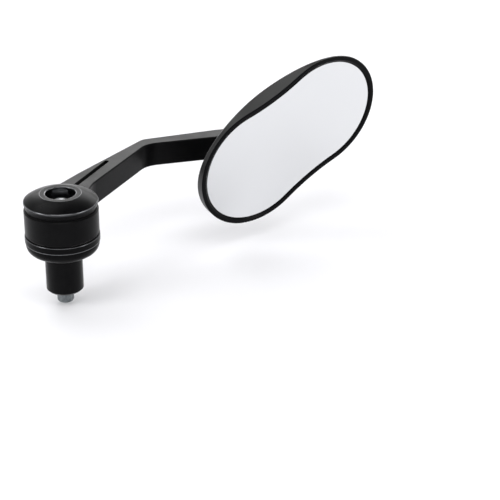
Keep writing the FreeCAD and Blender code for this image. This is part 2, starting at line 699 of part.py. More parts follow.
def head_shell():
    """Moulded shell: domed back, lobed side wall, rim, glass pocket and ball socket."""
    shell = lobed(0, -DOME_HEIGHT, 0).common(dome(0))
    low = [edge for edge in shell.Edges if edge.BoundBox.ZMin < -RIM_ROUND]
    shell = shell.makeFillet(DOME_EDGE_ROUND, [edge for edge in low if not isinstance(edge.Curve, Part.Line)])
    rim_edges = [edge for edge in shell.Edges if edge.BoundBox.ZMin > -RIM_ROUND / 2]
    shell = shell.makeFillet(RIM_ROUND, rim_edges)
    pocket = lobed(RIM_WIDTH, -POCKET_DEPTH, RIM_LIP)
    mouth_bevel = Part.makeLoft(
        [lobed_outline(RIM_WIDTH, -RIM_LIP), lobed_outline(RIM_WIDTH - RIM_BEVEL, 0)], True, True
    )
    cavity = lobed(RIM_WIDTH + LEDGE_WIDTH, -DOME_HEIGHT, -POCKET_DEPTH).common(dome(SHELL_WALL))
    boss_r = CLAMP_PLATE_D / 2 + SHELL_WALL
    boss = Part.makeCylinder(boss_r, DOME_HEIGHT + PLATE_SEAT, V(SOCKET_U, SOCKET_V, -DOME_HEIGHT))
    mouth_height = SOCKET_R * math.cos(math.radians(SOCKET_MOUTH_ANGLE)) + COLLAR_LIP
    collar = around_socket(Part.makeCone(
        COLLAR_D / 2, COLLAR_D / 2 + mouth_height, mouth_height, V(0, 0, -mouth_height)
    ))
    seat = Part.makeCylinder(
        CLAMP_PLATE_D / 2 + LOOSE_GAP, -PLATE_SEAT, V(SOCKET_U, SOCKET_V, PLATE_SEAT)
    ).common(lobed(RIM_WIDTH + LEDGE_WIDTH, -DOME_HEIGHT, 0))
    socket = around_socket(Part.makeSphere(SOCKET_R))
    throat = around_socket(disc(SOCKET_R, 0, CLAMP_PLATE_SEAT))
    mouth = around_socket(cone(SOCKET_MOUTH_ANGLE, 2 * SOCKET_R))
    shell = shell.cut([pocket, mouth_bevel, cavity.cut(boss)]).fuse(collar).cut([seat, socket, throat, mouth])
    hole_depth = PLATE_SCREW_LENGTH - CLAMP_PLATE_THICKNESS + LOOSE_GAP
    for place in screw_places():
        shell = shell.cut(Part.makeCylinder(
            PLATE_SCREW_D / 2 + THREAD_GAP, hole_depth, place + Z * (PLATE_SEAT - hole_depth)
        ))
    return shell


def ball_of(radius, top):
    """Large ball whose highest point lies at a height on the head's axis, its poles along v."""
    ball = Part.makeSphere(radius)
    ball.rotate(V(), V(1, 0, 0), 90)
    ball.translate(V(0, 0, top - radius))
    return ball


def glass_pieces():
    """Convex mirror glass, and the foam pad that fills behind it."""
    half_length = LOBE_SPACING / 2 + min(LOBE_OUTER_R, LOBE_INNER_R) - RIM_WIDTH
    bulge = GLASS_RADIUS - math.sqrt(GLASS_RADIUS**2 - half_length**2)
    front = ball_of(GLASS_RADIUS, bulge - RIM_LIP)
    back = ball_of(GLASS_RADIUS - GLASS_THICKNESS, bulge - RIM_LIP - GLASS_THICKNESS)
    glass = lobed(RIM_WIDTH + GLASS_EDGE_GAP, -POCKET_DEPTH, GLASS_THICKNESS)
    pad = lobed(RIM_WIDTH + PAD_EDGE_GAP, -POCKET_DEPTH, GLASS_THICKNESS)
    return {"mirror_glass": glass.common(front).cut(back), "glass_pad": pad.common(back)}


def ball_clamp_plate():
    """Round plate with a spherical seat that holds the liner in its socket."""
    plate = Part.makeCylinder(
        CLAMP_PLATE_D / 2, CLAMP_PLATE_THICKNESS, V(SOCKET_U, SOCKET_V, PLATE_SEAT)
    )
    cuts = [around_socket(Part.makeSphere(SOCKET_R))]
    for place in screw_places():
        cuts.append(Part.makeCylinder(
            PLATE_SCREW_D / 2 + LOOSE_GAP, CLAMP_PLATE_THICKNESS, place + Z * PLATE_SEAT
        ))
    return plate.cut(cuts)


def plate_screws():
    """The clamp plate's screws, as separate solids."""
    screw = socket_screw(
        PLATE_SCREW_D, PLATE_SCREW_LENGTH, PLATE_SCREW_HEAD_D, PLATE_SCREW_HEAD_HEIGHT,
        PLATE_SOCKET_FLATS, PLATE_SOCKET_DEPTH,
    )
    copies = []
    for place in screw_places():
        copy = screw.copy()
        copy.translate(place + Z * PLATE_FRONT)
        copies.append(copy)
    return Part.makeCompound(copies)


def head_pieces():
    """Pieces of the mirror head, in its own frame and then in its place."""
    pieces = {"head_shell": head_shell(), "ball_clamp_plate": ball_clamp_plate()}
    pieces["clamp_plate_screws"] = plate_screws()
    pieces.update(glass_pieces())
    return {name: placed(shape, HEAD_FRAME) for name, shape in pieces.items()}


def main():
    os.makedirs("parts", exist_ok=True)
    groups = [bar_end_pieces(), arm_pieces(), post_pieces(), liner_pieces(), head_pieces()]
    for pieces in groups:
        for name, shape in pieces.items():
            shape.exportStep(f"parts/{name}.step")
            print(f"{name}: {len(shape.Solids)} solid, {shape.Volume:.1f} mm3, valid {shape.isValid()}")
    for label, point in (("pivot", PIVOT_POINT), ("ball", BALL_POINT), ("head", HEAD_POINT)):
        print(label, [round(value, 4) for value in point])
    for label, axis in (("pivot", PIVOT_AXIS), ("tilt", TILT_AXIS), ("pan", V_AXIS)):
        print(label, "axis", [round(value, 6) for value in axis])


main()
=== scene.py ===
# %% [markdown]
# A bar-end mirror for a motorcycle, dressed for its picture.
# The real object is a black arm that turns on a plug in the handlebar's end, with an hourglass-shaped
# mirror on a ball joint at its far end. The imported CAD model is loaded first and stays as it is: every
# finish and every new piece below is set against it, in metres, in the same frame.

# %% Load the frame
import json
import math

import bpy
import numpy as np
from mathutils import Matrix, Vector

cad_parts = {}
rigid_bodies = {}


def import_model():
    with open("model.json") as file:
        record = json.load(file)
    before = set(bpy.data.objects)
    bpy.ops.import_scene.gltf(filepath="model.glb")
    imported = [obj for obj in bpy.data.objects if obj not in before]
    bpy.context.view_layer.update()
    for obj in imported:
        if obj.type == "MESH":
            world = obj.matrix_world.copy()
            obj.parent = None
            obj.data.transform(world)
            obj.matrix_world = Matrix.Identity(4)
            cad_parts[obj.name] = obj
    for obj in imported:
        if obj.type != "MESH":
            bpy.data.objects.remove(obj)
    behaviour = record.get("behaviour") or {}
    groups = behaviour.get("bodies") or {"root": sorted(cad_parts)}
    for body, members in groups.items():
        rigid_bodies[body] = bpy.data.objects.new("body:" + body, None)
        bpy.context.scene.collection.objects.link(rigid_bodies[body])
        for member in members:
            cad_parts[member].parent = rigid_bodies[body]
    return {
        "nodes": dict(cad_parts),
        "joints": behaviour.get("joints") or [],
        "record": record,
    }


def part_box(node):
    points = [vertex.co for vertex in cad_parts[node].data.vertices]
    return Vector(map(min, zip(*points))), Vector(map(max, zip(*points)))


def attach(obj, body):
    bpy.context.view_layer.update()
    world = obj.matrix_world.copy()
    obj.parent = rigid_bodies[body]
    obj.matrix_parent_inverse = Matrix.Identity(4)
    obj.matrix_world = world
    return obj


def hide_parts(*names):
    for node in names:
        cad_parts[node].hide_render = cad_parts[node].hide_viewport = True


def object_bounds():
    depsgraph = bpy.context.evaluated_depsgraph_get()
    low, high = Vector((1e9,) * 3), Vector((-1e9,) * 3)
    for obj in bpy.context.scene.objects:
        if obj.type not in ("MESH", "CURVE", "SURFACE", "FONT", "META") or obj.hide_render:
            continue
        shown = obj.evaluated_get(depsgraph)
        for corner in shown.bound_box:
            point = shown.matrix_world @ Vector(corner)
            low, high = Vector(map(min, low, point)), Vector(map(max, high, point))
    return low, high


for leftover in list(bpy.data.objects):
    bpy.data.objects.remove(leftover)
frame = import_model()
nodes = frame["nodes"]
cad_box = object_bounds()
scene = bpy.context.scene
MM = 0.001

# %% [markdown]
# The camera comes first, because it decides what has to look right.
# The photo was taken with a long lens from a little above: the rings of the plug show as flat ellipses,
# and upright edges stay nearly parallel. A 122 mm lens at about 0.8 m, tipped down by 26 degrees, gives
# the same ellipses and the same slight lean.

# %% Camera
CAMERA_PLACE = (89.2 * MM, -730.1 * MM, 356.0 * MM)
CAMERA_TIP = 26.0
LENS_MM = 122.4
SENSOR_MM = 36.0
camera_lens = bpy.data.cameras.new("photo_camera")
camera_lens.sensor_width = SENSOR_MM
camera_lens.lens = LENS_MM
camera_lens.dof.use_dof = False
camera = bpy.data.objects.new("photo_camera", camera_lens)
camera.location = CAMERA_PLACE
camera.rotation_euler = (math.radians(90.0 - CAMERA_TIP), 0.0, 0.0)
scene.collection.objects.link(camera)
scene.camera = camera
scene.view_settings.view_transform = "Standard"
print("camera at", tuple(round(value, 3) for value in camera.location))

# %% [markdown]
# Materials are node trees, and a few small helpers keep them short.
# Colours are picked as sRGB hex values, as a colour picker gives them, but Blender's shaders count in
# linear light, so one function converts them. Another adds a node, sets its values and links it. Nearly
# all values of a Noise Texture lie between 0.3 and 0.7, so most finishes below spread out that part.

# %% Helpers for materials
NOISE_LOW = 0.3
NOISE_HIGH = 0.7


def linear(hex_colour):
    """sRGB hex to linear RGBA: a low value is divided by 12.92, a higher one goes through the 2.4 power."""
    digits = hex_colour.lstrip("#")
    channels = np.array([int(digits[place:place + 2], 16) for place in (0, 2, 4)]) / 255.0
    bright = ((channels + 0.055) / 1.055) ** 2.4
    return (*np.where(channels <= 0.04045, channels / 12.92, bright).tolist(), 1.0)


def add(tree, kind, values=None, links=None, **options):
    """Adds a node: options set its properties, values its inputs, and links join inputs to outputs."""
    node = tree.nodes.new(kind)
    for name, option in options.items():
        setattr(node, name, option)
    for name, value in (values or {}).items():
        node.inputs[name].default_value = value
    for name, output in (links or {}).items():
        tree.links.new(output, node.inputs[name])
    return node


def new_material(name):
    """An empty material: its node tree and its output node."""
    material = bpy.data.materials.new(name)
    material.use_nodes = True
    tree = material.node_tree
    tree.nodes.clear()
    return material, tree, tree.nodes.new("ShaderNodeOutputMaterial")


def per_metre(size_mm):
    """Texture scale whose features are about size_mm across on Object coordinates in metres."""
    return 1.0 / (size_mm * MM)


print("black #09090a is", [round(value, 4) for value in linear("#09090a")])

# %% [markdown]
# The arm, the hub and the cap are aluminium, blasted with fine beads and anodised black.
# Blasting leaves a grain of about a tenth of a millimetre, which spreads highlights into a satin sheen,
# and the dye makes the metal look like a dark plastic with a faint bloom at low angles. The grain is too
# fine for this picture, so it is drawn at three tenths of a millimetre. Turned pieces have fine rings
# instead of grain.

# %% Black anodised aluminium
BLAST_GRAIN_MM = 0.3
CLOUD_MM = 9.0
TOOL_MARK_MM = 0.35
RING_LENGTH_MM = 40.0
MARK_DEPTH_MM = 0.03
CLOUD_SMOOTHER = 0.04
CLOUD_ROUGHER = 0.05
EDGE_SAMPLES = 6


def anodised_aluminium(name, roughness, specular, marks, mark_strength, edge_mm):
    """Anodised aluminium: dark dyed oxide, faint clouds in its sheen, and the marks of its making.

    marks is the scale of the mark pattern along X, Y and Z: equal for blasted grain, and low in X and Y
    for the fine rings that a lathe leaves about Z. edge_mm is the radius that edges are shaded with.
    """
    material, tree, output = new_material(name)
    place = add(tree, "ShaderNodeTexCoord").outputs["Object"]
    clouds = add(
        tree, "ShaderNodeTexNoise", {"Scale": per_metre(CLOUD_MM), "Detail": 3.0}, {"Vector": place}
    )
    stretched = add(tree, "ShaderNodeMapping", {"Scale": marks}, {"Vector": place})
    grain = add(
        tree, "ShaderNodeTexNoise", {"Scale": 1.0, "Detail": 2.0}, {"Vector": stretched.outputs["Vector"]}
    )
    colour = add(tree, "ShaderNodeValToRGB", links={"Fac": clouds.outputs["Fac"]})
    colour.color_ramp.elements[0].position = NOISE_LOW
    colour.color_ramp.elements[0].color = linear("#050506")
    colour.color_ramp.elements[1].position = NOISE_HIGH
    colour.color_ramp.elements[1].color = linear("#09090a")
    sheen = add(
        tree, "ShaderNodeMapRange",
        {
            "From Min": NOISE_LOW, "From Max": NOISE_HIGH,
            "To Min": roughness - CLOUD_SMOOTHER, "To Max": roughness + CLOUD_ROUGHER,
        },
        {"Value": clouds.outputs["Fac"]},
    )
    edges = add(tree, "ShaderNodeBevel", {"Radius": edge_mm * MM}, samples=EDGE_SAMPLES)
    bump = add(
        tree, "ShaderNodeBump", {"Strength": mark_strength, "Distance": MARK_DEPTH_MM * MM},
        {"Height": grain.outputs["Fac"], "Normal": edges.outputs["Normal"]},
    )
    surface = add(
        tree, "ShaderNodeBsdfPrincipled",
        {"IOR": 1.5, "Specular IOR Level": specular, "Sheen Weight": 0.15, "Sheen Roughness": 0.3},
        {
            "Base Color": colour.outputs["Color"], "Roughness": sheen.outputs["Result"],
            "Normal": bump.outputs["Normal"],
        },
    )
    tree.links.new(surface.outputs["BSDF"], output.inputs["Surface"])
    return material


blasted = (per_metre(BLAST_GRAIN_MM),) * 3
lathe_rings = (per_metre(RING_LENGTH_MM), per_metre(RING_LENGTH_MM), per_metre(TOOL_MARK_MM))
arm_finish = anodised_aluminium(
    "anodised_aluminium_blasted",
    roughness=0.34, specular=0.07, marks=blasted, mark_strength=0.35, edge_mm=0.25,
)
turned_finish = anodised_aluminium(
    "anodised_aluminium_turned",
    roughness=0.3, specular=0.05, marks=lathe_rings, mark_strength=0.15, edge_mm=0.1,
)
print("made", arm_finish.name, "and", turned_finish.name)

# %% [markdown]
# The mirror's shell is moulded from black ABS in a mould whose face was spark-eroded.
# The mould leaves a fine, even pebble on the plastic, so the dome shows a broad grey sheen and no sharp
# reflection. The pebble is about a quarter of a millimetre, just coarse enough to show up close. The
# other half of the mould is polished, and so the rim that faces the glass is smoother and blacker.

# %% Moulded ABS
PEBBLE_MM = 0.25
PEBBLE_DEPTH_MM = 0.02
FLOW_MM = 22.0


def moulded_abs(name, specular, smooth, rough, pebble_strength):
    """Black ABS: dark pigment, a dielectric gloss softened by the mould's pebble."""
    material, tree, output = new_material(name)
    place = add(tree, "ShaderNodeTexCoord").outputs["Object"]
    pebble = add(tree, "ShaderNodeTexVoronoi", {"Scale": per_metre(PEBBLE_MM)}, {"Vector": place})
    flow = add(tree, "ShaderNodeTexNoise", {"Scale": per_metre(FLOW_MM), "Detail": 2.0}, {"Vector": place})
    gloss = add(
        tree, "ShaderNodeMapRange",
        {"From Min": NOISE_LOW, "From Max": NOISE_HIGH, "To Min": smooth, "To Max": rough},
        {"Value": flow.outputs["Fac"]},
    )
    bump = add(
        tree, "ShaderNodeBump", {"Strength": pebble_strength, "Distance": PEBBLE_DEPTH_MM * MM},
        {"Height": pebble.outputs["Distance"]},
    )
    surface = add(
        tree, "ShaderNodeBsdfPrincipled",
        {"Base Color": linear("#070708"), "IOR": 1.52, "Specular IOR Level": specular},
        {"Roughness": gloss.outputs["Result"], "Normal": bump.outputs["Normal"]},
    )
    tree.links.new(surface.outputs["BSDF"], output.inputs["Surface"])
    return material


shell_finish = moulded_abs("abs_spark_eroded", specular=0.34, smooth=0.38, rough=0.45, pebble_strength=0.12)
rim_finish = moulded_abs("abs_mould_polished", specular=0.05, smooth=0.2, rough=0.26, pebble_strength=0.02)
print("made", shell_finish.name, "and", rim_finish.name)

# %% [markdown]
# The plug's sleeve, the washers on both sides of the arm's ring and the pad behind the glass are EPDM.
# Rubber swallows nearly all the light. What comes back is a soft bloom at low angles, and its black
# drifts a little in patches a few millimetres wide.

# %% Rubber
BLOOM_MM = 4.0
SKIN_MM = 0.4
SKIN_DEPTH_MM = 0.03


def epdm_rubber(name):
    """Moulded EPDM: carbon black with a weak gloss, a fine skin and a dusty bloom."""
    material, tree, output = new_material(name)
    place = add(tree, "ShaderNodeTexCoord").outputs["Object"]
    bloom = add(
        tree, "ShaderNodeTexNoise", {"Scale": per_metre(BLOOM_MM), "Detail": 5.0}, {"Vector": place}
    )
    skin = add(
        tree, "ShaderNodeTexNoise", {"Scale": per_metre(SKIN_MM), "Detail": 2.0}, {"Vector": place}
    )
    colour = add(tree, "ShaderNodeValToRGB", links={"Fac": bloom.outputs["Fac"]})
    colour.color_ramp.elements[0].position = 0.35
    colour.color_ramp.elements[0].color = linear("#050506")
    colour.color_ramp.elements[1].position = 0.75
    colour.color_ramp.elements[1].color = linear("#0a0a0b")
    bump = add(
        tree, "ShaderNodeBump", {"Strength": 0.3, "Distance": SKIN_DEPTH_MM * MM},
        {"Height": skin.outputs["Fac"]},
    )
    surface = add(
        tree, "ShaderNodeBsdfPrincipled",
        {
            "Roughness": 0.38, "IOR": 1.5, "Specular IOR Level": 0.06,
            "Sheen Weight": 0.6, "Sheen Roughness": 0.3,
        },
        {"Base Color": colour.outputs["Color"], "Normal": bump.outputs["Normal"]},
    )
    tree.links.new(surface.outputs["BSDF"], output.inputs["Surface"])
    return material


rubber_finish = epdm_rubber("epdm_rubber_moulded")
print("made", rubber_finish.name)

# %% [markdown]
# The nut, the steel washers and the screws inside the head are zinc-plated, and the socket screws are
# nickel-plated. Zinc is a cloudy, slightly blue grey, darkened here as painted shade for the shadowed
# floor that the nut's facets face, nickel is paler and more even, and the ball is steel that was ground
# and polished for its joint. The larger turned arcs and the recess wall get a metal paler than the dye:
# a painted highlight in place of the thin bright lines that these black edges reflect. A metal keeps the
# shader's default IOR, and its colour is the colour of its reflection.

# %% Plated and polished metal, and a paler metal for painted highlights
PLATING_CLOUD_MM = 1.8


def bare_metal(name, dark, pale, smooth, rough):
    """Metal with a cloudy surface: colour and roughness both drift between two values."""
    material, tree, output = new_material(name)
    place = add(tree, "ShaderNodeTexCoord").outputs["Object"]
    clouds = add(
        tree, "ShaderNodeTexNoise", {"Scale": per_metre(PLATING_CLOUD_MM), "Detail": 4.0}, {"Vector": place}
    )
    colour = add(tree, "ShaderNodeValToRGB", links={"Fac": clouds.outputs["Fac"]})
    colour.color_ramp.elements[0].position = NOISE_LOW
    colour.color_ramp.elements[0].color = linear(dark)
    colour.color_ramp.elements[1].position = NOISE_HIGH
    colour.color_ramp.elements[1].color = linear(pale)
    blur = add(
        tree, "ShaderNodeMapRange",
        {"From Min": NOISE_LOW, "From Max": NOISE_HIGH, "To Min": smooth, "To Max": rough},
        {"Value": clouds.outputs["Fac"]},
    )
    surface = add(
        tree, "ShaderNodeBsdfPrincipled", {"Metallic": 1.0},
        {"Base Color": colour.outputs["Color"], "Roughness": blur.outputs["Result"]},
    )
    tree.links.new(surface.outputs["BSDF"], output.inputs["Surface"])
    return material


# This zinc is darker than plain zinc plating: painted shade for the shadowed floor that the nut's facets
# reflect.
zinc_and_shade_finish = bare_metal("steel_zinc_plated_painted_shade", "#5d6264", "#858a8c", smooth=0.16, rough=0.28)
nickel_finish = bare_metal("steel_nickel_plated", "#c4c6c8", "#d8dadb", smooth=0.3, rough=0.4)
ball_finish = bare_metal("steel_polished", "#b9bbbe", "#c6c8ca", smooth=0.06, rough=0.1)
# This paler aluminium is a painted highlight. It goes on the larger turned arcs and the recess wall, in
# place of the bright lines that their black edges reflect.
highlight_edge_finish = bare_metal("aluminium_painted_highlight", "#5c5d5f", "#6a6b6d", smooth=0.15, rough=0.25)
print("made", zinc_and_shade_finish.name, nickel_finish.name, ball_finish.name, "and", highlight_edge_finish.name)

# %% [markdown]
# The glass is silvered on its back, so what the eye sees is a mirror with a hard, clear skin over it.
# Glass and silver together return about three quarters of the light here, and they hardly blur it. The
# ball's liner and the washer between the arm's eye and the post are pale acetal, a waxy plastic.

# %% Silvered glass and acetal
WAVE_MM = 30.0
CUT_GRAIN_MM = 0.6
CUT_DEPTH_MM = 0.02


def silvered_glass(name):
    """Mirror: a metal layer of slightly cool grey under a smooth clear coat, with a trace of haze."""
    material, tree, output = new_material(name)
    place = add(tree, "ShaderNodeTexCoord").outputs["Object"]
    wave = add(tree, "ShaderNodeTexNoise", {"Scale": per_metre(WAVE_MM), "Detail": 1.0}, {"Vector": place})
    haze = add(
        tree, "ShaderNodeMapRange",
        {"From Min": NOISE_LOW, "From Max": NOISE_HIGH, "To Min": 0.012, "To Max": 0.03},
        {"Value": wave.outputs["Fac"]},
    )
    surface = add(
        tree, "ShaderNodeBsdfPrincipled",
        {"Base Color": linear("#e0e1e2"), "Metallic": 1.0, "Coat Weight": 0.3, "Coat Roughness": 0.02},
        {"Roughness": haze.outputs["Result"]},
    )
    tree.links.new(surface.outputs["BSDF"], output.inputs["Surface"])
    return material


def acetal(name):
    """Pale acetal: a waxy gloss over a fine machined grain."""
    material, tree, output = new_material(name)
    place = add(tree, "ShaderNodeTexCoord").outputs["Object"]
    grain = add(
        tree, "ShaderNodeTexNoise", {"Scale": per_metre(CUT_GRAIN_MM), "Detail": 3.0}, {"Vector": place}
    )
    bump = add(
        tree, "ShaderNodeBump", {"Strength": 0.1, "Distance": CUT_DEPTH_MM * MM},
        {"Height": grain.outputs["Fac"]},
    )
    surface = add(
        tree, "ShaderNodeBsdfPrincipled",
        {"Base Color": linear("#dcd9d0"), "Roughness": 0.42, "IOR": 1.48},
        {"Normal": bump.outputs["Normal"]},
    )
    tree.links.new(surface.outputs["BSDF"], output.inputs["Surface"])
    return material


glass_finish = silvered_glass("glass_silvered")
acetal_finish = acetal("acetal_turned")
print("made", glass_finish.name, "and", acetal_finish.name)

# %% [markdown]
# Each CAD piece whose shape is right keeps its mesh and only gets its finish.
# The hub, cap and post were turned on a lathe, so they are a little smoother than the cast arm. The
# shell's rim is found by its faces: they look the way the glass looks, along the line that is square to
# both axes of the ball joint. A face belongs to the rim where the cosine between the two is large enough.

# %% Finish the CAD pieces
RIM_TURN = 0.35
FINISHES = {
    "arm": arm_finish,
    "hub_flange": turned_finish,
    "end_cap": turned_finish,
    "swivel_post": turned_finish,
    "head_shell": shell_finish,
    "ball_clamp_plate": shell_finish,
    "expander_sleeve": rubber_finish,
    "cap_gasket": rubber_finish,
    "glass_pad": rubber_finish,
    "ball_liner": acetal_finish,
    "friction_washer": acetal_finish,
    "thrust_washer": rubber_finish,
    "expander_washer": zinc_and_shade_finish,
    "expander_nut": zinc_and_shade_finish,
    "expander_bolt": nickel_finish,
    "clamp_screw": nickel_finish,
    "pivot_screw": nickel_finish,
    "pivot_washer": zinc_and_shade_finish,
    "clamp_plate_screws": zinc_and_shade_finish,
    "ball_stud": ball_finish,
    "mirror_glass": glass_finish,
}
for name, finish in FINISHES.items():
    nodes[name].data.materials.clear()
    nodes[name].data.materials.append(finish)
axes = {joint["name"]: joint["axis"] for joint in frame["joints"]}
facing = np.cross(axes["head_tilt"], axes["head_pan"])
shell = nodes["head_shell"].data
outward = np.empty(len(shell.polygons) * 3)
shell.polygons.foreach_get("normal", outward)
is_rim = outward.reshape(-1, 3) @ facing > RIM_TURN
shell.materials.append(rim_finish)
shell.polygons.foreach_set("material_index", is_rim.astype(np.int32))
print("finished", len(FINISHES), "of", len(nodes), "CAD pieces, rim faces:", int(is_rim.sum()))

# %% [markdown]
# The cap and the hub are turned on a lathe, and their edges are what the eye finds first.
# The CAD leaves those edges sharp. Here each piece is made again as a profile carried round the axis, and
# every corner of the profile gets a small arc, as a turner breaks an edge with a file. A Bevel modifier
# would do the same, but on loose CAD triangles it makes a poor mesh, and a profile is shorter. A profile
# is a list of corners, each with its radius, its height and its rounding in millimetres.

# %% Profiles with rounded corners
CRISP = 0.05
CURVE_STEPS = np.linspace(0.0, 1.0, 14)
ARC_STEPS = np.linspace(0.0, 1.0, 7)
NEARLY_STRAIGHT = 0.4999 * np.pi


def bulge(start, end, rise):
    """Corners on a shallow curve between two points: the straight side plus rise times four t (1 - t)."""
    t = CURVE_STEPS[1:-1, None]
    start, end = np.array(start), np.array(end)
    along = (end - start) / np.linalg.norm(end - start)
    outward = np.array([along[1], -along[0]])
    curve = start + (end - start) * t + outward * rise * 4.0 * t * (1.0 - t)
    return np.column_stack([curve, np.full(len(curve), CRISP)]).tolist()


def rounded_profile(corners):
    """Closed profile whose corners (radius, height, rounding) have become arcs.

    An arc touches both sides at rounding over the tangent of half the corner's angle. Its centre lies on
    the corner's bisector, and its points swing evenly from the first touching point to the second.
    """
    table = np.array(corners)
    corner, rounding = table[:, :2], table[:, 2:]
    back = np.roll(corner, 1, axis=0) - corner
    ahead = np.roll(corner, -1, axis=0) - corner
    back /= np.linalg.norm(back, axis=1, keepdims=True)
    ahead /= np.linalg.norm(ahead, axis=1, keepdims=True)
    half = np.arccos(np.clip((back * ahead).sum(axis=1, keepdims=True), -1.0, 1.0)) / 2
    half = np.minimum(half, NEARLY_STRAIGHT)
    bisector = back + ahead
    bisector /= np.linalg.norm(bisector, axis=1, keepdims=True)
    centre = corner + bisector * rounding / np.sin(half)
    first = corner + back * rounding / np.tan(half) - centre
    second = corner + ahead * rounding / np.tan(half) - centre
    swing = (np.pi - 2.0 * half)[:, None]
    t = ARC_STEPS[None, :, None]
    arc = np.sin((1.0 - t) * swing) * first[:, None] + np.sin(t * swing) * second[:, None]
    return (centre[:, None] + arc / np.sin(swing)).reshape(-1, 2)


print("each corner of a profile becomes", len(ARC_STEPS), "points")

# %% [markdown]
# Carried round the axis, the profile gives a grid of points, and each square of the grid is a face.
# The profile is closed, so the surface is too. The faces of the larger arcs, and of the wall of the cap's
# recess, take the paler edge metal: a painted highlight for the bright lines that these edges reflect.

# %% Turned pieces
TURNS = np.linspace(0.0, 2.0 * np.pi, 192, endpoint=False)
HIGHLIGHT_FROM = 0.25
TURNED_SHARP = math.radians(50.0)


def turned_piece(name, node, corners, highlight_radius=0.0):
    """Piece in place of a CAD node: point (r, z) of the profile at angle a is (r cos a, r sin a, z).

    Its larger arcs, and the upright wall at the radius given, take a paler metal as painted highlight.
    """
    profile = rounded_profile(corners)
    radius, height = profile[:, :1], profile[:, 1:]
    level = np.broadcast_to(height, (len(profile), len(TURNS)))
    points = np.stack([radius * np.cos(TURNS), radius * np.sin(TURNS), level], axis=-1) * MM
    index = np.arange(points.shape[0] * points.shape[1]).reshape(points.shape[:2])
    beside = np.roll(index, -1, axis=1)
    quads = np.stack([index, beside, np.roll(beside, -1, axis=0), np.roll(index, -1, axis=0)], axis=-1)
    mesh = bpy.data.meshes.new(name)
    mesh.from_pydata(points.reshape(-1, 3).tolist(), [], quads.reshape(-1, 4).tolist())
    mesh.polygons.foreach_set("use_smooth", np.ones(len(mesh.polygons), bool))
    mesh.set_sharp_from_angle(angle=TURNED_SHARP)
    # Faces of the larger arcs and of the upright wall take the paler metal, a painted highlight.
    steps = len(ARC_STEPS)
    in_arc = np.arange(len(profile)) % steps < steps - 1
    large_arc = in_arc & (np.repeat(np.array(corners)[:, 2], steps) >= HIGHLIGHT_FROM)
    at_wall = np.isclose(radius[:, 0], highlight_radius)
    upright = at_wall & np.roll(at_wall, -1)
    mesh.materials.append(turned_finish)
    mesh.materials.append(highlight_edge_finish)
    mesh.polygons.foreach_set("material_index", np.repeat(large_arc | upright, len(TURNS)).astype(np.int32))
    piece = bpy.data.objects.new(name, mesh)
    scene.collection.objects.link(piece)
    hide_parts(node)
    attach(piece, "bar_end")
    print(name, "has", len(mesh.polygons), "faces")


print("a turned piece has", len(TURNS), "faces round it")

# %% [markdown]
# The cap is a low dome with a flat land round a deep recess, where the bolt's head sits.
# Its nose reaches down inside the hub. All sizes are the CAD's, in millimetres, and the heights hang from
# the top of the CAD's cap.

# %% Cap
CAP_R = 17.75
CAP_FOOT_R = 16.9
CAP_HEIGHT = 6.75
CAP_BAND_LOW = 2.5
CAP_BAND_TOP = 3.2
CAP_SWELL = 0.4
LAND_R = 9.9
RECESS_R = 7.2
RECESS_DEPTH = 7.7
BORE_R = 2.3
NOSE_R = 10.0
NOSE_DEPTH = 3.0
cap_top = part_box("end_cap")[1].z / MM
cap_low = cap_top - CAP_HEIGHT
shoulder = (CAP_R, cap_low + CAP_BAND_TOP)
land = (LAND_R, cap_top)
bolt_seat = cap_top - RECESS_DEPTH
nose_low = bolt_seat - NOSE_DEPTH
turned_piece("turned_cap", "end_cap", [
    (CAP_FOOT_R, cap_low, 0.2),
    (CAP_R, cap_low + CAP_BAND_LOW, 0.3),
    (*shoulder, 0.65),
    *bulge(shoulder, land, CAP_SWELL),
    (*land, 0.5),
    (RECESS_R, cap_top, 0.4),
    (RECESS_R, bolt_seat, 0.5),
    (BORE_R, bolt_seat, CRISP),
    (BORE_R, nose_low, CRISP),
    (NOSE_R, nose_low, 0.2),
    (NOSE_R, cap_low, CRISP),
], highlight_radius=RECESS_R)

# %% [markdown]
# The hub is the piece that meets the handlebar: a swelling foot, a band, and a spigot for the arm's ring.
# A shallow groove in its face goes round the plug's sleeve, and the spigot is bored out for the cap's nose.

# %% Hub
HUB_R = 17.95
HUB_FOOT_R = 14.5
HUB_TOP = 9.3
HUB_BAND_LOW = 5.8
HUB_BEVEL = 0.4
HUB_SWELL = 1.1
GROOVE_IN_R = 8.6
GROOVE_OUT_R = 9.4
GROOVE_DEPTH = 0.5
SPIGOT_R = 12.5
SPIGOT_BORE_R = 10.3
NOSE_GAP = 0.3
foot = (HUB_FOOT_R, 0.0)
waist = (HUB_R - HUB_BEVEL, HUB_BAND_LOW - HUB_BEVEL)
spigot_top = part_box("hub_flange")[1].z / MM
spigot_floor = nose_low - NOSE_GAP
turned_piece("turned_hub", "hub_flange", [
    (BORE_R, 0.0, CRISP),
    (GROOVE_IN_R, 0.0, CRISP),
    (GROOVE_IN_R, GROOVE_DEPTH, CRISP),
    (GROOVE_OUT_R, GROOVE_DEPTH, CRISP),
    (GROOVE_OUT_R, 0.0, CRISP),
    (*foot, 0.3),
    *bulge(foot, waist, HUB_SWELL),
    (*waist, CRISP),
    (HUB_R, HUB_BAND_LOW, 0.6),
    (HUB_R, HUB_TOP - HUB_BEVEL, 0.3),
    (HUB_R - HUB_BEVEL, HUB_TOP, 0.2),
    (SPIGOT_R, HUB_TOP, CRISP),
    (SPIGOT_R, spigot_top, CRISP),
    (SPIGOT_BORE_R, spigot_top, CRISP),
    (SPIGOT_BORE_R, spigot_floor, CRISP),
    (BORE_R, spigot_floor, CRISP),
])

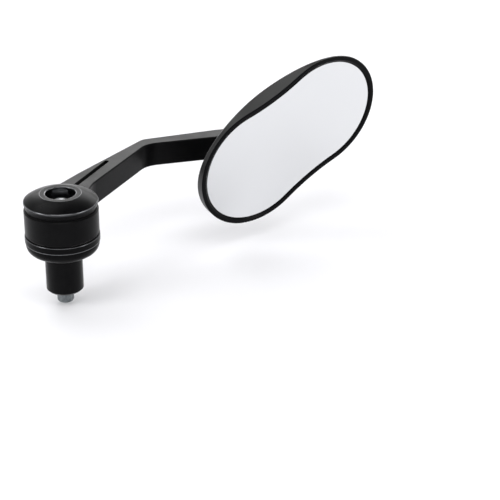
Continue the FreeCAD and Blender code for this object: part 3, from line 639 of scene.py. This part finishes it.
# %% [markdown]
# The socket screws have what the CAD leaves out: threads, a knurled head and a bevelled hexagon socket.
# A screw is one closed surface. Its profile is a list of stations from the point to the floor of the
# socket, and each station is a ring whose radius may change with the angle: a plain circle, a hexagon,
# a ring of small knurls or a helical thread. So the whole screw is one grid of stations by angles.

# %% A closed surface from rings
ANGLES = np.linspace(0.0, 2.0 * np.pi, 144, endpoint=False)
SCREW_SHARP = math.radians(35.0)


def closed_mesh(name, rings, first_pole, last_pole):
    """Mesh from a grid of rings, joined round each ring, from ring to ring, and to a pole at each end."""
    count, around = rings.shape[:2]
    points = np.concatenate([[first_pole], rings.reshape(-1, 3), [last_pole]])
    index = 1 + np.arange(count * around).reshape(count, around)
    after = np.roll(index, -1, axis=1)
    quads = np.stack([index[:-1], after[:-1], after[1:], index[1:]], axis=-1).reshape(-1, 4)
    first_fan = np.stack([np.zeros_like(index[0]), after[0], index[0]], axis=-1)
    last_fan = np.stack([np.full_like(index[0], len(points) - 1), index[-1], after[-1]], axis=-1)
    mesh = bpy.data.meshes.new(name)
    mesh.from_pydata(points.tolist(), [], first_fan.tolist() + quads.tolist() + last_fan.tolist())
    mesh.polygons.foreach_set("use_smooth", np.ones(len(mesh.polygons), bool))
    mesh.set_sharp_from_angle(angle=SCREW_SHARP)
    return mesh


print("a screw has", len(ANGLES), "faces round it")

# %% [markdown]
# A screw's sizes are those of a real one: its shank, its head, the key that fits its socket, and its
# pitch. Only the smaller forms, such as the point's bevel and the rounded edge of the head, are shares
# of those sizes.

# %% Socket screws
LONGEST_THREAD = 22.0
THREADED_SHARE = 0.75
RINGS_PER_PITCH = 10
KNURLS = 48
KNURL_DEPTH = 0.012


def socket_screw(name, seat, turned, shank_d, length, head_d, head_height, flats, depth, pitch):
    """Socket screw with its head's seat at a point. The matrix turned carries Z to the way its head points.

    A thread's radius is the shank's less a triangle wave of height over pitch minus turn, so its crest
    climbs one pitch in each turn. A hexagon's radius is half its flats over the cosine of the angle from
    the nearest flat's middle. A knurl is a small cosine round the head.
    """
    shank_r = shank_d / 2
    head_r = head_d / 2
    tip = 0.13 * shank_d
    edge = 0.05 * head_d
    groove = 0.55 * pitch
    bevel = 0.08 * flats
    drill_point = 0.25 * flats
    thread_length = min(THREADED_SHARE * length, LONGEST_THREAD)
    thread_rings = int(RINGS_PER_PITCH * thread_length / pitch)
    threaded = np.linspace(tip - length, thread_length - length, thread_rings)
    turn = ANGLES / (2.0 * np.pi)
    wave = np.abs(((threaded[:, None] / pitch - turn) % 1.0) * 2.0 - 1.0)
    fade = np.clip((thread_length - length - threaded) / pitch, 0.0, 1.0)[:, None]
    thread_r = shank_r - groove * wave * fade
    circle = np.ones_like(ANGLES)
    hexagon = 0.5 / np.cos(ANGLES % (np.pi / 3) - np.pi / 6)
    knurl = 1.0 - KNURL_DEPTH * (1.0 + np.cos(KNURLS * ANGLES))
    stations = [
        ((shank_r - tip) * circle, -length),
        (shank_r * circle, 0.0),
        ((head_r - 0.4 * edge) * circle, 0.0),
        (head_r * knurl, 0.4 * edge),
        (head_r * knurl, head_height - edge),
        ((head_r - 0.6 * edge) * circle, head_height - 0.25 * edge),
        ((head_r - edge) * circle, head_height),
        ((flats + 2 * bevel) * hexagon, head_height),
        (flats * hexagon, head_height - bevel),
        (flats * hexagon, head_height - depth),
    ]
    radius = np.concatenate([[stations[0][0]], thread_r, [ring for ring, _ in stations[1:]]])
    height = np.concatenate([[stations[0][1]], threaded, [level for _, level in stations[1:]]])
    level = np.broadcast_to(height[:, None], radius.shape)
    local = np.stack([radius * np.cos(ANGLES), radius * np.sin(ANGLES), level], axis=-1)
    first_pole = np.array([0.0, 0.0, -length])
    last_pole = np.array([0.0, 0.0, head_height - depth - drill_point])
    rings = (local @ turned.T + seat) * MM
    mesh = closed_mesh(name, rings, (turned @ first_pole + seat) * MM, (turned @ last_pole + seat) * MM)
    mesh.materials.append(nickel_finish)
    screw = bpy.data.objects.new(name, mesh)
    scene.collection.objects.link(screw)
    return screw


print("threads are at most", LONGEST_THREAD, "mm long")

# %% [markdown]
# Each new screw takes the place of its CAD screw, which says where the head is.
# The bolt stands upright in the plug, the eye's screw lies along the axis that the post turns on, and the
# ring's screw crosses the saw slot at a right angle.

# %% Screws in place
SLOT_HEADING = math.radians(66.5)


def dress_screw(name, node, axis, sizes):
    """New screw in the place of a CAD screw, on the same body.

    The CAD screw's points are turned until its axis stands upright. The middle of their extent is then
    the screw's centre line, and the highest point less the head's height is the head's seat.
    """
    old = nodes[node].data
    points = np.empty(len(old.vertices) * 3)
    old.vertices.foreach_get("co", points)
    turned = np.array(Vector(axis).to_track_quat("Z", "Y").to_matrix())
    upright = (points.reshape(-1, 3) / MM) @ turned
    seat = (upright.min(axis=0) + upright.max(axis=0)) / 2
    seat[2] = upright[:, 2].max() - sizes["head_height"]
    seat = turned @ seat
    screw = socket_screw(name, seat, turned, **sizes)
    groups = frame["record"]["behaviour"]["bodies"]
    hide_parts(node)
    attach(screw, next(body for body, members in groups.items() if node in members))
    print(name, "seat at", seat.round(2).tolist(), "mm,", len(screw.data.polygons), "faces")


dress_screw("plug_bolt", "expander_bolt", (0.0, 0.0, 1.0), dict(
    shank_d=4.0, length=50.0, head_d=7.0, head_height=4.0, flats=3.0, depth=2.2, pitch=0.7,
))
dress_screw("eye_screw", "pivot_screw", [-value for value in axes["post_swivel"]], dict(
    shank_d=5.0, length=10.0, head_d=8.5, head_height=5.0, flats=4.0, depth=2.5, pitch=0.8,
))
dress_screw("ring_screw", "clamp_screw", (-math.sin(SLOT_HEADING), math.cos(SLOT_HEADING), 0.0), dict(
    shank_d=4.0, length=14.0, head_d=7.0, head_height=4.0, flats=3.0, depth=2.0, pitch=0.7,
))

# %% [markdown]
# The floor is a wide white sheet, lit at a plain level so that colours come out as they are written.
# The photo's background is pure white, so the floor adds a little glow that only the camera, mirrors and
# clear things see, and that grows where the lamps no longer reach. It doesn't light the object's dull
# surfaces, and the shadows still show in the part that is lit.

# %% Floor
FLOOR_HALF = 4.0
LAMPS_REACH = 0.25
LAMPS_END = 1.2
GLOW_NEAR = 0.14
GLOW_FAR = 0.8
floor_height = cad_box[0].z
corners = np.array([(-1, -1), (1, -1), (1, 1), (-1, 1)]) * FLOOR_HALF
floor_points = np.column_stack([corners, np.full(4, floor_height)])
floor_mesh = bpy.data.meshes.new("floor")
floor_mesh.from_pydata(floor_points.tolist(), [], [(0, 1, 2, 3)])
floor = bpy.data.objects.new("floor", floor_mesh)
scene.collection.objects.link(floor)

white, tree, output = new_material("paper_white")
rays = add(tree, "ShaderNodeLightPath").outputs
direct = add(
    tree, "ShaderNodeMath",
    links={0: rays["Is Camera Ray"], 1: rays["Is Glossy Ray"]}, operation="MAXIMUM",
)
seen = add(
    tree, "ShaderNodeMath",
    links={0: direct.outputs[0], 1: rays["Is Transmission Ray"]}, operation="MAXIMUM",
)
place = add(tree, "ShaderNodeTexCoord").outputs["Object"]
away = add(tree, "ShaderNodeVectorMath", links={0: place}, operation="LENGTH")
far = add(
    tree, "ShaderNodeMapRange",
    {"From Min": LAMPS_REACH, "From Max": LAMPS_END, "To Min": GLOW_NEAR, "To Max": GLOW_FAR},
    {"Value": away.outputs["Value"]},
)
glow_strength = add(
    tree, "ShaderNodeMath", links={0: seen.outputs[0], 1: far.outputs["Result"]}, operation="MULTIPLY"
)
paper = add(tree, "ShaderNodeBsdfDiffuse", {"Color": linear("#e3e3e6")})
glow = add(tree, "ShaderNodeEmission", {"Color": linear("#ffffff")}, {"Strength": glow_strength.outputs[0]})
both = add(tree, "ShaderNodeAddShader", links={0: paper.outputs["BSDF"], 1: glow.outputs["Emission"]})
tree.links.new(both.outputs[0], output.inputs["Surface"])
floor_mesh.materials.append(white)
print("floor at", round(floor_height / MM, 2), "mm")

# %% [markdown]
# The light is a studio's: soft boxes at the front corners, above the camera and overhead, and a wide one
# behind that lays a sheen on surfaces that face up. Places and sizes are in metres, and powers in watts.

# %% Soft boxes
middle = (cad_box[0] + cad_box[1]) / 2


def soft_box(name, right, back, height, width, depth, power):
    """Area light to the right of and behind the object's middle, turned to face it."""
    light = bpy.data.lights.new(name, "AREA")
    light.shape = "RECTANGLE"
    light.size = width
    light.size_y = depth
    light.energy = power
    box = bpy.data.objects.new(name, light)
    box.location = (middle.x + right, middle.y + back, height)
    box.rotation_euler = (middle - box.location).to_track_quat("-Z", "Y").to_euler()
    scene.collection.objects.link(box)


soft_box("left_box", right=-0.72, back=-0.36, height=0.42, width=0.3, depth=0.45, power=2.3)
soft_box("right_box", right=0.74, back=-0.32, height=0.38, width=0.3, depth=0.4, power=1.8)
soft_box("front_box", right=-0.03, back=-0.4, height=0.86, width=0.7, depth=0.5, power=2.9)
soft_box("overhead_box", right=-0.42, back=0.25, height=0.85, width=0.55, depth=0.55, power=2.6)
soft_box("back_box", right=0.05, back=1.1, height=0.58, width=1.4, depth=0.5, power=8.0)

# %% [markdown]
# The room has white walls and a dark ceiling, so a surface that faces up stays black until it catches a
# box, and turned edges show as thin bright lines. A world's Generated coordinate is the direction that a
# ray leaves in, and its Z is the sine of the ray's rise: the walls end at one rise, and the ceiling is
# fully dark from another.

# %% Room
WALLS_END = 0.25
CEILING_FROM = 0.8
WALL_STRENGTH = 1.0
CEILING_STRENGTH = 0.22
world = bpy.data.worlds.new("studio")
scene.world = world
world.use_nodes = True
tree = world.node_tree
tree.nodes.clear()
direction = add(tree, "ShaderNodeTexCoord").outputs["Generated"]
rise = add(tree, "ShaderNodeSeparateXYZ", links={"Vector": direction}).outputs["Z"]
strength = add(
    tree, "ShaderNodeMapRange",
    {
        "From Min": WALLS_END, "From Max": CEILING_FROM,
        "To Min": WALL_STRENGTH, "To Max": CEILING_STRENGTH,
    },
    {"Value": rise}, interpolation_type="SMOOTHSTEP",
)
surround = add(
    tree, "ShaderNodeBackground", {"Color": linear("#ffffff")}, {"Strength": strength.outputs["Result"]}
)
add(tree, "ShaderNodeOutputWorld", links={"Surface": surround.outputs["Background"]})
print("world:", world.name, "with", len(tree.nodes), "nodes")
